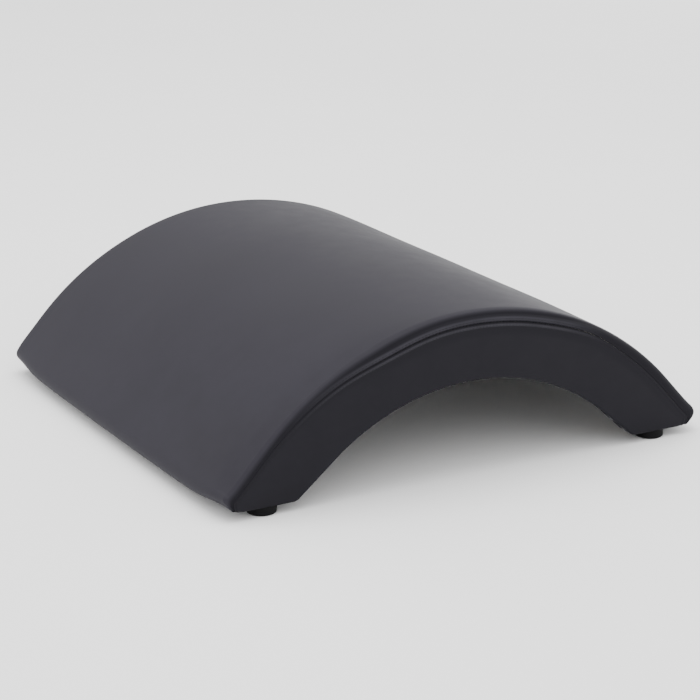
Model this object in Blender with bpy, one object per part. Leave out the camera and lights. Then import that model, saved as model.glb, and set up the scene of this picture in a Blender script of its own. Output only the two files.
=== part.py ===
"""Upholstered pilates arc: a dowelled plywood frame, foam and a sewn vinyl cover on rubber feet.

Metres. X runs along the span, Y across the width and Z up. The origin is on the floor
under the middle of the arc, which stands on its four feet and is the same both ways round.
"""

from math import acos, atan2, copysign, cos, pi, sin, sqrt, tan

import bmesh
import bpy
from mathutils import Vector

for old in list(bpy.data.objects):
    bpy.data.objects.remove(old, do_unlink=True)

# The whole arc, over its cover: outside sizes, the straight part of each leg's outer and inner
# slope, the thickness at the crown, and the rounded ends and heels
SPAN = 0.600
WIDTH = 0.590
HEIGHT = 0.1858
CROWN_LEG = 0.0520
ARCH_LEG = 0.0545
CROWN_DEPTH = 0.0780
END_RADIUS = 0.0125
HEEL_RADIUS = 0.0110
SOLE_WIDTH = 0.0700

# Space left between pieces that touch
GAP = 0.0003

# Vinyl cover: its swell over the foam on the crown and round the ends, its rounded shoulders,
# seams and turned edges
SKIN = 0.0012
CROWN_SWELL = 0.0014
END_SWELL = 0.0036
SIDE_SWELL = 0.0008
SHOULDER_RADIUS = 0.0100
SEAM_DROP = 0.0135
EDGE_ROLL = 0.0025
EDGE_DEPTH = 0.0030
HEM_RISE = 0.0038
TUCK_RADIUS = 0.0030
TAIL = 0.0120
LINING = 0.0008
LINING_MARGIN = 0.0040

# Foam and bent sheets
TOP_FOAM = 0.0220
SIDE_FOAM = 0.0050
DECK = 0.0050
UNDER_PLY = 0.0030

# Plywood ribs, deep at the two sides and shallow between, with rails and battens across
RIB_COUNT = 4
RIB_THICKNESS = 0.0180
CORE_DEPTH = 0.0215
RAIL_HEIGHT = 0.0250
BATTEN_COUNT = 5
BATTEN_WIDTH = 0.0400
BATTEN_DEPTH = 0.0120
BATTEN_REACH_SHARE = 0.80
DOWEL_RADIUS = 0.0030
DOWEL_LENGTH = 0.0300
DOWEL_CHAMFER = 0.0010
CHEEK_DOWEL_SHARE = 0.72

# Rubber feet, each held by a pan-head screw and a washer in its recess
FOOT_HEIGHT = 0.0106
FOOT_RADIUS = 0.0162
FOOT_EDGE = 0.0020
FOOT_SETBACK = 0.0530
FOOT_INSET = 0.0165
RECESS_RADIUS = 0.0068
RECESS_DEPTH = 0.0050
WASHER_RADIUS = 0.0062
WASHER_THICKNESS = 0.0010
SCREW_RADIUS = 0.0021
SCREW_REACH = 0.0120
SCREW_POINT = 0.0035
HEAD_RADIUS = 0.0044
HEAD_HEIGHT = 0.0026
HEAD_CROWN_SHARE = 0.45

# Fineness of the curves
ARC_STEPS = 12
END_STEPS = 6
HEEL_STEPS = 3
LEG_STEPS = END_STEPS - HEEL_STEPS
RAIL_STEPS = 3
ROLL_STEPS = 3
CROWN_STEPS = 4
SIDE_SHARES = (0.0, 0.2, 0.5, 0.8, 1.0)
ROUND_SEGMENTS = 24
PEG_SEGMENTS = 16
CUT_OVERRUN = 0.0040

# Levels and widths that follow from the sizes above
SOLE_LEVEL = FOOT_HEIGHT + GAP
FRAME_LEVEL = SOLE_LEVEL + SKIN + GAP
FOAM_LEVEL = SOLE_LEVEL + EDGE_ROLL
RIB_LEVEL = FRAME_LEVEL + RAIL_HEIGHT + GAP
FOAM_INSET = SKIN + GAP
DECK_INSET = FOAM_INSET + TOP_FOAM + GAP
RIB_INSET = DECK_INSET + DECK + GAP
HALF_WIDTH = WIDTH / 2
FOAM_HALF = HALF_WIDTH - FOAM_INSET
FRAME_HALF = FOAM_HALF - SIDE_FOAM - GAP
HEM_HALF = FRAME_HALF - RIB_THICKNESS
TUCK_HALF = HEM_HALF - GAP
FOOT_X = SPAN / 2 - FOOT_SETBACK
FOOT_Y = HALF_WIDTH - FOOT_INSET


class Face:
    """One face of the arch in the XZ plane: a crown arc that runs on into two straight legs."""

    def __init__(self, radius, centre, lean):
        self.radius = radius
        self.centre = centre
        self.lean = lean

    def grown(self, distance):
        """The parallel face at this distance further from the arc's centre."""
        return Face(self.radius + distance, self.centre, self.lean)

    def point(self, angle):
        return Vector((self.radius * sin(angle), self.centre + self.radius * cos(angle)))

    def landing(self, level):
        """Where the right half comes down to a level, on its leg or higher up on its arc."""
        knee = self.point(self.lean)
        if level > knee.y:
            return self.point(acos((level - self.centre) / self.radius))
        return Vector((knee.x + (knee.y - level) / tan(self.lean), level))

    def right_half(self, level, leg_shares):
        """Points from the crown to the right leg's end, with the shares of the leg to stop at."""
        end = self.landing(level)
        knee = self.point(self.lean)
        if level > knee.y:
            steps = ARC_STEPS + len(leg_shares)
            turn = atan2(end.x, end.y - self.centre)
            return [self.point(turn * step / steps) for step in range(steps + 1)]
        points = [self.point(self.lean * step / ARC_STEPS) for step in range(ARC_STEPS + 1)]
        return points + [knee.lerp(end, share) for share in leg_shares]


def face_through(top, corner, corner_radius, leg_length):
    """The arc from a top level that runs on into a straight leg and meets a round corner.

    An outer leg passes over its corner's centre, and an inner one under it, at a negative radius.
    """
    drop = top - corner.y
    radius = ((corner.x ** 2 + drop ** 2 - corner_radius ** 2 - leg_length ** 2)
              / (2 * (drop - corner_radius)))
    centre = top - radius
    lean = atan2(corner.x, corner.y - centre) - atan2(leg_length, radius - corner_radius)
    return Face(radius, centre, lean)


END_CENTRE = Vector((SPAN / 2 - END_RADIUS, SOLE_LEVEL + END_RADIUS))
HEEL_CENTRE = Vector((END_CENTRE.x - SOLE_WIDTH, SOLE_LEVEL + HEEL_RADIUS))
CROWN = face_through(HEIGHT - CROWN_SWELL, END_CENTRE, END_RADIUS, CROWN_LEG)
ARCH = face_through(HEIGHT - CROWN_DEPTH, HEEL_CENTRE, -HEEL_RADIUS, ARCH_LEG)
CROWN_LEAN = CROWN.lean
ARCH_LEAN = ARCH.lean
BACK = CROWN.grown(-RIB_INSET)
BELLY = CROWN.grown(-RIB_INSET - CORE_DEPTH)
UNDERSIDE = BELLY.grown(-GAP - UNDER_PLY)
ARCH_LEANS = ([ARCH_LEAN * step / ARC_STEPS for step in range(ARC_STEPS + 1)] + [ARCH_LEAN] * LEG_STEPS
              + [ARCH_LEAN * (1 - step / HEEL_STEPS) for step in range(HEEL_STEPS + 1)])


def direction(angle):
    """A unit step at an angle from straight up, turning towards +X."""
    return Vector((sin(angle), cos(angle)))


def blend(start, end, share):
    return start + (end - start) * share


def shares(count):
    return [step / count for step in range(1, count + 1)]


def whole(points):
    """The line over both halves, from the right half, which starts on the middle."""
    return [Vector((-point.x, point.y)) for point in reversed(points[1:])] + points


def arch_edge(inset, rise=0.0):
    """The side face's lower edge, set in by a distance: the arch, the leg and the heel.

    A rise lifts the arch and dies away down the leg and round the heel.
    """
    face = ARCH.grown(inset)
    arc = [face.point(lean) for lean in ARCH_LEANS[:ARC_STEPS + 1]]
    heel = [HEEL_CENTRE - direction(lean) * (HEEL_RADIUS - inset) for lean in ARCH_LEANS[-HEEL_STEPS - 1:]]
    leg = [arc[-1].lerp(heel[0], step / (LEG_STEPS + 1)) for step in range(1, LEG_STEPS + 1)]
    return [spot + direction(lean) * rise * min(1.0, (len(ARCH_LEANS) - 1 - number) / END_STEPS)
            for number, (spot, lean) in enumerate(zip(arc + leg + heel, ARCH_LEANS))]


def material(name, colour, roughness, metallic=0.0):
    made = bpy.data.materials.new(name)
    made.use_nodes = True
    shader = made.node_tree.nodes["Principled BSDF"]
    shader.inputs["Base Color"].default_value = (*colour, 1.0)
    shader.inputs["Roughness"].default_value = roughness
    shader.inputs["Metallic"].default_value = metallic
    return made


VINYL_TOP = material("vinyl_top", (0.060, 0.058, 0.062), 0.45)
VINYL_SIDE = material("vinyl_side", (0.030, 0.029, 0.032), 0.50)
LINING_CLOTH = material("lining_cloth", (0.020, 0.020, 0.022), 0.85)
FOAM = material("foam", (0.72, 0.70, 0.62), 0.95)
PLYWOOD = material("plywood", (0.62, 0.45, 0.27), 0.65)
PINE = material("pine", (0.70, 0.52, 0.32), 0.60)
BEECH = material("beech", (0.66, 0.46, 0.28), 0.55)
RUBBER = material("rubber", (0.012, 0.012, 0.012), 0.70)
STEEL = material("zinc_steel", (0.55, 0.56, 0.58), 0.35, 1.0)


def finish(name, mesh, finish_material):
    """Turns an edited mesh into a named object with its material."""
    bmesh.ops.recalc_face_normals(mesh, faces=mesh.faces)
    data = bpy.data.meshes.new(name)
    mesh.to_mesh(data)
    mesh.free()
    data.materials.append(finish_material)
    made = bpy.data.objects.new(name, data)
    bpy.context.collection.objects.link(made)
    return made


def smooth(made, angle=pi / 6):
    made.data.shade_smooth()
    made.data.set_sharp_from_angle(angle=angle)
    return made


def cut(made, cutters):
    """Takes each cutter out of a piece and leaves the cutter as a wire guide."""
    for cutter in cutters:
        cutter.hide_render = True
        cutter.display_type = "WIRE"
        step = made.modifiers.new(cutter.name, "BOOLEAN")
        step.operation = "DIFFERENCE"
        step.solver = "EXACT"
        step.object = cutter
    return made


def slab(name, upper, lower, low_y, high_y, finish_material):
    """A piece of one section: a ladder of faces between two lines, extruded along Y."""
    mesh = bmesh.new()
    rungs = [[mesh.verts.new((p.x, low_y, p.y)) for p in pair] for pair in zip(upper, lower)]
    for (a, b), (c, d) in zip(rungs, rungs[1:]):
        mesh.faces.new((a, b, d, c))
    grown = bmesh.ops.extrude_face_region(mesh, geom=list(mesh.faces))
    moved = [item for item in grown["geom"] if isinstance(item, bmesh.types.BMVert)]
    bmesh.ops.translate(mesh, verts=moved, vec=(0.0, high_y - low_y, 0.0))
    return smooth(finish(name, mesh, finish_material))


def layer(name, upper, lower, level, low_y, high_y, finish_material):
    """A bent piece between two parallel faces of the arch, cut off level at both ends."""
    lines = [whole(face.right_half(level, (1.0,))) for face in (upper, lower)]
    return slab(name, *lines, low_y, high_y, finish_material)


def loft(name, rings, finish_material):
    """A solid through closed rings, capped at both ends."""
    mesh = bmesh.new()
    loops = [[mesh.verts.new(point) for point in ring] for ring in rings]
    for near, far in zip(loops, loops[1:]):
        for number in range(len(near)):
            mesh.faces.new((near[number - 1], near[number], far[number], far[number - 1]))
    mesh.faces.new(loops[0])
    mesh.faces.new(loops[-1])
    return smooth(finish(name, mesh, finish_material))


def side_slab(name, upper, level, outer, inner, finish_material):
    """A board as deep as the side face; outer and inner are its two faces, as Y, inset and rise."""
    back = whole(upper.right_half(level, shares(END_STEPS + 1)))
    (outer_y, *outer_edge), (inner_y, *inner_edge) = outer, inner
    rings = [[Vector((top.x, outer_y, top.y)), Vector((top.x, inner_y, top.y)),
              Vector((low.x, inner_y, low.y)), Vector((foot.x, outer_y, foot.y))]
             for top, low, foot in zip(back, whole(arch_edge(*inner_edge)), whole(arch_edge(*outer_edge)))]
    return loft(name, rings, finish_material)


def turned(name, profile, segments, place, finish_material, turn=(0.0, 0.0, 0.0)):
    """A round piece: a profile of radius and height turned about its own upright axis."""
    mesh = bmesh.new()
    ring = [mesh.verts.new((radius, 0.0, height)) for radius, height in profile]
    edges = [mesh.edges.new(pair) for pair in zip(ring, ring[1:])]
    if profile[0][0] > 0.0:
        edges.append(mesh.edges.new((ring[-1], ring[0])))
    bmesh.ops.spin(mesh, geom=ring + edges, cent=(0.0, 0.0, 0.0), axis=(0.0, 0.0, 1.0),
                   angle=2 * pi, steps=segments, use_merge=True)
    bmesh.ops.remove_doubles(mesh, verts=mesh.verts, dist=GAP / 100)
    made = smooth(finish(name, mesh, finish_material))
    made.location = place
    made.rotation_euler = turn
    return made


def sheet(name, patches, finish_material):
    """A sheet of faces over patches of rows; the points that patches share are welded."""
    mesh = bmesh.new()
    for rows in patches:
        knots = [[point and mesh.verts.new(point) for point in row] for row in rows]
        for near, far in zip(knots, knots[1:]):
            for column in range(len(near) - 1):
                corners = (near[column], near[column + 1], far[column + 1], far[column])
                if all(corners):
                    mesh.faces.new(corners)
    bmesh.ops.remove_doubles(mesh, verts=mesh.verts, dist=GAP / 100)
    return finish(name, mesh, finish_material)


def thicken(made):
    """Gives a sheet of vinyl its thickness, inwards from the face that shows."""
    shell = made.modifiers.new("skin", "SOLIDIFY")
    shell.thickness = SKIN
    shell.offset = -1.0
    shell.use_even_offset = True
    return smooth(made)


# Cover, top panel: one sheet over the crown, round both ends and tucked under between the sides

SEAM_KNEE = END_CENTRE + direction(CROWN_LEAN) * (END_RADIUS - SEAM_DROP)
SEAM_FOOT = Vector((END_CENTRE.x, SOLE_LEVEL + EDGE_DEPTH))
TUCK_CENTRE = UNDERSIDE.grown(TUCK_RADIUS - FOAM_INSET).landing(SOLE_LEVEL + TUCK_RADIUS)
TUCK_YS = [TUCK_HALF * (2 * step / CROWN_STEPS - 1) for step in range(CROWN_STEPS + 1)]
UP_THE_LEG = Vector((-cos(CROWN_LEAN), sin(CROWN_LEAN)))


def top_panel_stations():
    """From the crown round the outer corner: place, outward way, roll, seam and swell."""
    stations = []
    for step in range(ARC_STEPS + 1):
        angle = CROWN_LEAN * step / ARC_STEPS
        outward = direction(angle)
        place = CROWN.point(angle)
        stations.append((place, outward, SHOULDER_RADIUS, place - outward * SEAM_DROP, CROWN_SWELL))
    for share in [0.0] + shares(END_STEPS):
        outward = direction(blend(CROWN_LEAN, pi, share))
        place = END_CENTRE + outward * END_RADIUS
        roll = blend(SHOULDER_RADIUS, EDGE_ROLL, share ** 2)
        swell = blend(CROWN_SWELL, END_SWELL, sin(share * pi / 2)) * (1 - share ** 6)
        stations.append((place, outward, roll, SEAM_KNEE.lerp(SEAM_FOOT, share), swell))
    return stations


def tuck_rows():
    """The part between the sides: on under the rail and up its inner face to the tail's end."""
    line = [TUCK_CENTRE + direction(pi + CROWN_LEAN * share) * TUCK_RADIUS
            for share in [0.0] + shares(HEEL_STEPS)]
    line.append(line[-1] + UP_THE_LEG * TAIL)
    beside = [None] * (ROLL_STEPS + 2)
    return [beside + [Vector((spot.x, y, spot.y)) for y in TUCK_YS] + beside for spot in line]


def half_rim(roll, inset, half_width):
    """Depth and distance across of a shoulder, from the side face up to the crown."""
    rim = []
    for step in range(ROLL_STEPS + 1):
        turn = pi / 2 * step / ROLL_STEPS
        rim.append((inset + roll * (1 - sin(turn)), -half_width + roll * (1 - cos(turn))))
    return rim


def across(station, inset, half_width):
    """One section across the arc, from the front shoulder to the back one."""
    place, outward, roll, _, swell = station
    roll = max(roll - inset, GAP)
    front = half_rim(roll, inset, half_width)
    flat_half = half_width - roll
    middle = [(inset - swell * (1 - (y / flat_half) ** 2), y) for y in TUCK_YS]
    back = [(depth, -y) for depth, y in reversed(front)]
    points = []
    for depth, y in front + middle + back:
        spot = place - outward * depth
        points.append(Vector((spot.x, y, spot.y)))
    return points


def top_panel_section(station):
    seam = station[3]
    edges = [Vector((seam.x, side * HALF_WIDTH, seam.y)) for side in (-1, 1)]
    return [edges[0]] + across(station, 0.0, HALF_WIDTH) + [edges[1]]


def both_sides(rows):
    """The left half's rows before the right half's, which start on the middle."""
    left = [[p and Vector((-p.x, p.y, p.z)) for p in row] for row in reversed(rows[1:])]
    return left + rows


def screw_places():
    """The four feet: name, and sign along X and Y."""
    for end, x_sign in (("left", -1), ("right", 1)):
        for side, y_sign in (("front", -1), ("back", 1)):
            yield f"{side}_{end}", Vector((x_sign * FOOT_X, y_sign * FOOT_Y, 0.0))


def peg(name, radius, low, high, place, turn=(0.0, 0.0, 0.0)):
    """A straight cutter for a round hole."""
    profile = [(0.0, low), (radius, low), (radius, high), (0.0, high)]
    return turned(name, profile, PEG_SEGMENTS, place, PINE, turn)


SCREW_HOLES = [peg(f"screw_hole_{name}", SCREW_RADIUS + GAP, SOLE_LEVEL - CUT_OVERRUN,
                   SOLE_LEVEL + SCREW_REACH + GAP, place)
               for name, place in screw_places()]

top_rows = [top_panel_section(station) for station in top_panel_stations()] + tuck_rows()
thicken(sheet("cover_top_panel", [both_sides(top_rows)], VINYL_TOP))


# Cover, side panels: flat sheets sewn to the top panel, folded under all round as a hem

SEAM_CLEAR = CROWN.grown(-SEAM_DROP - GAP)


def side_face_rows():
    """Across the side face, from the seam to the fold, for stations from the middle to the sole."""
    seam_line = [SEAM_CLEAR.point(CROWN_LEAN * step / ARC_STEPS) for step in range(ARC_STEPS + 1)]
    knee = SEAM_KNEE - direction(CROWN_LEAN) * GAP
    foot = Vector((SEAM_FOOT.x - 2 * GAP, FOAM_LEVEL))
    seam_line += [knee.lerp(foot, share) for share in [0.0] + shares(END_STEPS)]
    rows = []
    for number, (seam, arch) in enumerate(zip(seam_line, arch_edge(EDGE_ROLL))):
        fade = 1 - max(0, number - ARC_STEPS - 1) / END_STEPS
        row = []
        for share in SIDE_SHARES:
            spot = seam.lerp(arch, share)
            swell = SIDE_SWELL * fade * 4 * share * (1 - share)
            row.append(Vector((spot.x, -HALF_WIDTH - swell, spot.y)))
        rows.append(row)
    return rows


def fold_rows(face_rows):
    """Round the fold and along the hem, for stations from the middle to the sole's outer end."""
    hem_edge = arch_edge(0.0, HEM_RISE)
    stations = [(row[-1], lean, hem) for row, lean, hem in zip(face_rows, ARCH_LEANS, hem_edge)]
    stations += [(spot, 0.0, Vector((spot.x, SOLE_LEVEL))) for spot in reversed(face_rows[-1][:-1])]
    rows = []
    for spot, lean, hem in stations:
        row = []
        for step in range(ROLL_STEPS + 1):
            turn = pi / 2 * step / ROLL_STEPS
            way = direction(lean) * EDGE_ROLL * sin(turn)
            row.append(Vector((spot.x - way.x, spot.y + EDGE_ROLL * (1 - cos(turn)), spot.z - way.y)))
        row.append(Vector((hem.x, -HEM_HALF, hem.y)))
        rows.append(row)
    return rows


side_rows = side_face_rows()
for side, y_sign in (("front", 1), ("back", -1)):
    patches = [[[Vector((p.x, p.y * y_sign, p.z)) for p in row] for row in both_sides(rows)]
               for rows in (side_rows, fold_rows(side_rows))]
    panel = thicken(sheet(f"cover_{side}_panel", patches, VINYL_SIDE))
    cut(panel, [hole for hole in SCREW_HOLES if side in hole.name])


# Underside lining: a thin cloth stapled to the under sheet between the cover's two tails

TAIL_END = TUCK_CENTRE.y - TUCK_RADIUS * cos(CROWN_LEAN) + TAIL * sin(CROWN_LEAN)
layer("underside_lining", UNDERSIDE.grown(-GAP), UNDERSIDE.grown(-GAP - LINING),
      TAIL_END + SKIN + GAP, LINING_MARGIN - TUCK_HALF, TUCK_HALF - LINING_MARGIN, LINING_CLOTH)


# Foam: a thick pad over the top with the shoulders shaped in it, and a thin pad on each side

def top_foam_rings():
    stations = top_panel_stations()[:ARC_STEPS + 2 + END_STEPS]
    leg_shares = [0.5] + [0.5 + 0.5 * share for share in shares(END_STEPS)]
    under = CROWN.grown(-FOAM_INSET - TOP_FOAM).right_half(FOAM_LEVEL, leg_shares)
    rings = []
    for station, base in zip(stations, under):
        over = across(station, FOAM_INSET, FOAM_HALF)
        rings.append([Vector((base.x, -FOAM_HALF, base.y))] + over
                     + [Vector((base.x, FOAM_HALF, base.y))])
    return rings


loft("top_foam", both_sides(top_foam_rings()), FOAM)

for side, y_sign in (("front", -1), ("back", 1)):
    side_slab(f"{side}_side_foam", CROWN.grown(-DECK_INSET), FOAM_LEVEL,
              (y_sign * FOAM_HALF, EDGE_ROLL), (y_sign * (FOAM_HALF - SIDE_FOAM), EDGE_ROLL), FOAM)


# Bent sheets: the deck that carries the foam, and the thin sheet that closes the recess above

layer("top_deck", CROWN.grown(-DECK_INSET), CROWN.grown(-DECK_INSET - DECK), FRAME_LEVEL,
      -FRAME_HALF, FRAME_HALF, PLYWOOD)
layer("under_sheet", BELLY.grown(-GAP), UNDERSIDE, FRAME_LEVEL, -TUCK_HALF, TUCK_HALF, PLYWOOD)


# Frame: deep ribs at the sides, shallow ribs on the end rails, battens in notches, and dowels

RISE_SHARE = (HALF_WIDTH - EDGE_ROLL - FRAME_HALF) / (HALF_WIDTH - EDGE_ROLL - HEM_HALF)
RIB_PITCH = (2 * FRAME_HALF - RIB_THICKNESS) / (RIB_COUNT - 1)
RIB_YS = [-FRAME_HALF + RIB_THICKNESS / 2 + number * RIB_PITCH for number in range(RIB_COUNT)]


def core_middle(level):
    """The middle of the core's thickness in the right leg at a level."""
    return (BACK.landing(level) + BELLY.landing(level)) / 2


def bar(name, width, depth, length, finish_material):
    """A square-edged bar along Y, with the middle of its outer face at the origin."""
    mesh = bmesh.new()
    bmesh.ops.create_cube(mesh, size=1.0)
    bmesh.ops.scale(mesh, vec=(width, length, depth), verts=mesh.verts)
    bmesh.ops.translate(mesh, vec=(0.0, 0.0, -depth / 2), verts=mesh.verts)
    return finish(name, mesh, finish_material)


def set_on_back(made, angle, lift):
    """Lays a bar against the ribs' backs at an angle round the crown."""
    reach = sqrt(BACK.radius ** 2 - (BATTEN_WIDTH / 2) ** 2) + lift
    made.location = (reach * sin(angle), 0.0, BACK.centre + reach * cos(angle))
    made.rotation_euler = (0.0, angle, 0.0)


notches = []
for number in range(BATTEN_COUNT):
    share = 2 * number / (BATTEN_COUNT - 1) - 1
    angle = CROWN_LEAN * BATTEN_REACH_SHARE * share
    set_on_back(bar(f"batten_{number + 1}", BATTEN_WIDTH, BATTEN_DEPTH, 2 * FRAME_HALF, PINE),
                angle, 0.0)
    notch = bar(f"notch_{number + 1}", BATTEN_WIDTH + 2 * GAP, BATTEN_DEPTH + GAP + CUT_OVERRUN,
                2 * FRAME_HALF + 2 * CUT_OVERRUN, PINE)
    set_on_back(notch, angle, CUT_OVERRUN)
    notches.append(notch)

dowel_holes = {}
for end, x_sign in (("left", -1), ("right", 1)):
    for number, y in enumerate(RIB_YS):
        if number in (0, RIB_COUNT - 1):
            joint = core_middle(FRAME_LEVEL + RAIL_HEIGHT * CHEEK_DOWEL_SHARE)
            y = copysign(TUCK_HALF + GAP / 2, y)
            turn = (pi / 2, 0.0, 0.0)
        else:
            joint = core_middle(RIB_LEVEL - GAP / 2)
            turn = (0.0, x_sign * (CROWN_LEAN - pi / 2), 0.0)
        place = (x_sign * joint.x, y, joint.y)
        rim = DOWEL_RADIUS - DOWEL_CHAMFER
        half = DOWEL_LENGTH / 2
        profile = [(0.0, -half), (rim, -half), (DOWEL_RADIUS, DOWEL_CHAMFER - half),
                   (DOWEL_RADIUS, half - DOWEL_CHAMFER), (rim, half), (0.0, half)]
        turned(f"dowel_{end}_{number + 1}", profile, PEG_SEGMENTS, place, BEECH, turn)
        dowel_holes[end, number] = peg(f"dowel_hole_{end}_{number + 1}", DOWEL_RADIUS + GAP,
                                       -half - GAP, half + GAP, place, turn)

for number, y in enumerate(RIB_YS):
    name = f"rib_{number + 1}"
    joints = notches + [dowel_holes[end, number] for end in ("left", "right")]
    if number in (0, RIB_COUNT - 1):
        outer = (copysign(FRAME_HALF, y), FOAM_INSET, HEM_RISE * RISE_SHARE)
        inner = (copysign(HEM_HALF, y), FOAM_INSET, HEM_RISE)
        rib = side_slab(name, BACK, FRAME_LEVEL, outer, inner, PLYWOOD)
        joints += [hole for hole in SCREW_HOLES if hole.location.y * y > 0]
    else:
        rib = layer(name, BACK, BELLY, RIB_LEVEL, y - RIB_THICKNESS / 2, y + RIB_THICKNESS / 2, PLYWOOD)
    cut(rib, joints)

for end, x_sign in (("left", -1), ("right", 1)):
    rungs = [[Vector((x_sign * face.landing(level).x, level)) for face in (BACK, BELLY)]
             for level in [FRAME_LEVEL + RAIL_HEIGHT * share for share in [0.0] + shares(RAIL_STEPS)]]
    rail = slab(f"{end}_end_rail", *zip(*rungs), -TUCK_HALF, TUCK_HALF, PINE)
    cut(rail, [dowel_holes[end, number] for number in range(RIB_COUNT)])


# Feet: turned rubber blocks with a washer and a screw up through each into the side rib

WASHER_TOP = RECESS_DEPTH - GAP
HEAD_TOP = WASHER_TOP - WASHER_THICKNESS - GAP
HOLE_RADIUS = SCREW_RADIUS + GAP
SCREW_TIP = SOLE_LEVEL + SCREW_REACH

for name, place in screw_places():
    edge = [(FOOT_RADIUS - FOOT_EDGE * (1 - sin(turn)), FOOT_EDGE * (1 - cos(turn)))
            for turn in (0.0, pi / 6, pi / 3, pi / 2)]
    foot = [(HOLE_RADIUS, RECESS_DEPTH), (RECESS_RADIUS, RECESS_DEPTH), (RECESS_RADIUS, 0.0)]
    foot += edge + [(FOOT_RADIUS, FOOT_HEIGHT), (HOLE_RADIUS, FOOT_HEIGHT)]
    turned(f"foot_{name}", foot, ROUND_SEGMENTS, place, RUBBER)
    washer = [(radius, level) for radius, level in (
        (HOLE_RADIUS, WASHER_TOP - WASHER_THICKNESS), (WASHER_RADIUS, WASHER_TOP - WASHER_THICKNESS),
        (WASHER_RADIUS, WASHER_TOP), (HOLE_RADIUS, WASHER_TOP))]
    turned(f"washer_{name}", washer, ROUND_SEGMENTS, place, STEEL)
    dome = HEAD_HEIGHT * HEAD_CROWN_SHARE
    head_low = HEAD_TOP - HEAD_HEIGHT
    screw = [(0.0, head_low)]
    screw += [(HEAD_RADIUS * sin(turn), head_low + dome * (1 - cos(turn)))
              for turn in (pi / 6, pi / 3, pi / 2)]
    screw += [(HEAD_RADIUS, HEAD_TOP), (SCREW_RADIUS, HEAD_TOP),
              (SCREW_RADIUS, SCREW_TIP - SCREW_POINT), (0.0, SCREW_TIP)]
    turned(f"screw_{name}", screw, PEG_SEGMENTS, place, STEEL)
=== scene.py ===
"""Looks of the upholstered pilates arc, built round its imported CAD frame. Metres, +Z up."""

from math import atan2, cos, exp, hypot, pi, radians, sin, tan

import bmesh
import bpy
import numpy as np
from mathutils import Matrix, Vector


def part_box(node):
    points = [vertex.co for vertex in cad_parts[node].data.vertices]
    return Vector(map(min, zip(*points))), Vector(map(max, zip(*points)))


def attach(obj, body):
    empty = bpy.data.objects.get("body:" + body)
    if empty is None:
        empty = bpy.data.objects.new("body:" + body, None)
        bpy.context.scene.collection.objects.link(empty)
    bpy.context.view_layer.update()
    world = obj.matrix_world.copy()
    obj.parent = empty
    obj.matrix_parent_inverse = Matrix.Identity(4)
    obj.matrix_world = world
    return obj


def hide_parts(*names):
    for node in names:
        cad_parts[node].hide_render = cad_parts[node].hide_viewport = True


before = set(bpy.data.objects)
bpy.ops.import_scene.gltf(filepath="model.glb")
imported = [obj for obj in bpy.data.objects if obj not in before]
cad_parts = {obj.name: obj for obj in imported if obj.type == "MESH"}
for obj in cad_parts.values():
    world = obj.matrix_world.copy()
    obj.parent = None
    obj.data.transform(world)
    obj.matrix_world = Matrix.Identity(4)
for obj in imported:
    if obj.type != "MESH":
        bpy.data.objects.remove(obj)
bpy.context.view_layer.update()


# Crown pad: closed-cell foam glued on the bent deck, with rounded shoulders that give the
# crown its soft edges. It fills its cover, and nothing of it shows.

GAP = 0.0003
SPAN = 0.600
CROWN_LEG = 0.0520
END_RADIUS = 0.0125
CROWN_SWELL = 0.0014
END_SWELL = 0.0018
END_FULL = 0.0018
SWELL_FADE_POWER = 6
TOP_SHOULDER = (0.0078, 1.9)
TOP_REACH = 0.5
SLOPE_SHOULDERS = {(-1, -1): (0.0064, 1.1), (-1, 1): (0.0084, 1.3),
                   (1, -1): (0.0082, 1.2), (1, 1): (0.0084, 1.3)}
SLOPE_DROOPS = {(-1, -1): 0.0046, (-1, 1): 0.0, (1, -1): 0.0, (1, 1): 0.0004}
DROOP_POWER = 14
SEAM_DROP = 0.0135
SEAM_DIP = 0.0037
SEAM_DIP_LEAN = 0.33
SEAM_DIP_REACH = 0.15
SEAM_LIFT = 0.0026
SEAM_LIFT_LEAN = -0.47
SEAM_LIFT_REACH = 0.13
SEAM_BEND_SHARE = 0.35
EDGE_ROLL = 0.0025
EDGE_DEPTH = 0.0030
PAD_INSET = 0.0034
PAD_THICKNESS = 0.0201
PAD_STRIDE = 6
PAD_STOPS_SHORT = 2
PAD_CREASE = radians(40)

ARC_STEPS = 100
LEG_STEPS = 18
CORNER_STEPS = 26
FLANK_STEPS = 16
ROLL_STEPS = 14

crown_low, crown_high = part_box("cover_top_panel")
SOLE = crown_low[2]
HALF = crown_high[1]
HEIGHT = crown_high[2]
TUCK_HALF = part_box("under_sheet")[1][1]
CROWN_YS = [0.0, 0.03, 0.06, 0.09, 0.12, 0.15, 0.175, 0.20, 0.215, 0.23, 0.241, 0.25, 0.258,
            0.264, TUCK_HALF]


def way(angle):
    """A unit step in the XZ plane at an angle from straight up, turning towards +X."""
    return np.array([sin(angle), cos(angle)])


def face_through(top, corner, corner_radius, leg_length):
    """The arc from a top level that runs on into a straight leg and meets a round corner."""
    drop = top - corner[1]
    radius = ((corner[0] ** 2 + drop ** 2 - corner_radius ** 2 - leg_length ** 2)
              / (2 * (drop - corner_radius)))
    centre = top - radius
    lean = atan2(corner[0], corner[1] - centre) - atan2(leg_length, radius - corner_radius)
    return radius, centre, lean


end_centre = np.array([SPAN / 2 - END_RADIUS, SOLE + END_RADIUS])
CROWN_RADIUS, crown_centre, crown_lean = face_through(
    HEIGHT - CROWN_SWELL, end_centre, END_RADIUS, CROWN_LEG)


def on_arc(radius, centre, angle):
    """The point at an angle on an arc whose centre is so high on the middle line."""
    return np.array([0.0, centre]) + way(angle) * radius


def leg_foot(radius, level):
    """Where the right leg of a face parallel to the crown comes down to a level."""
    knee = on_arc(radius, crown_centre, crown_lean)
    return np.array([knee[0] + (knee[1] - level) / tan(crown_lean), level])


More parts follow.
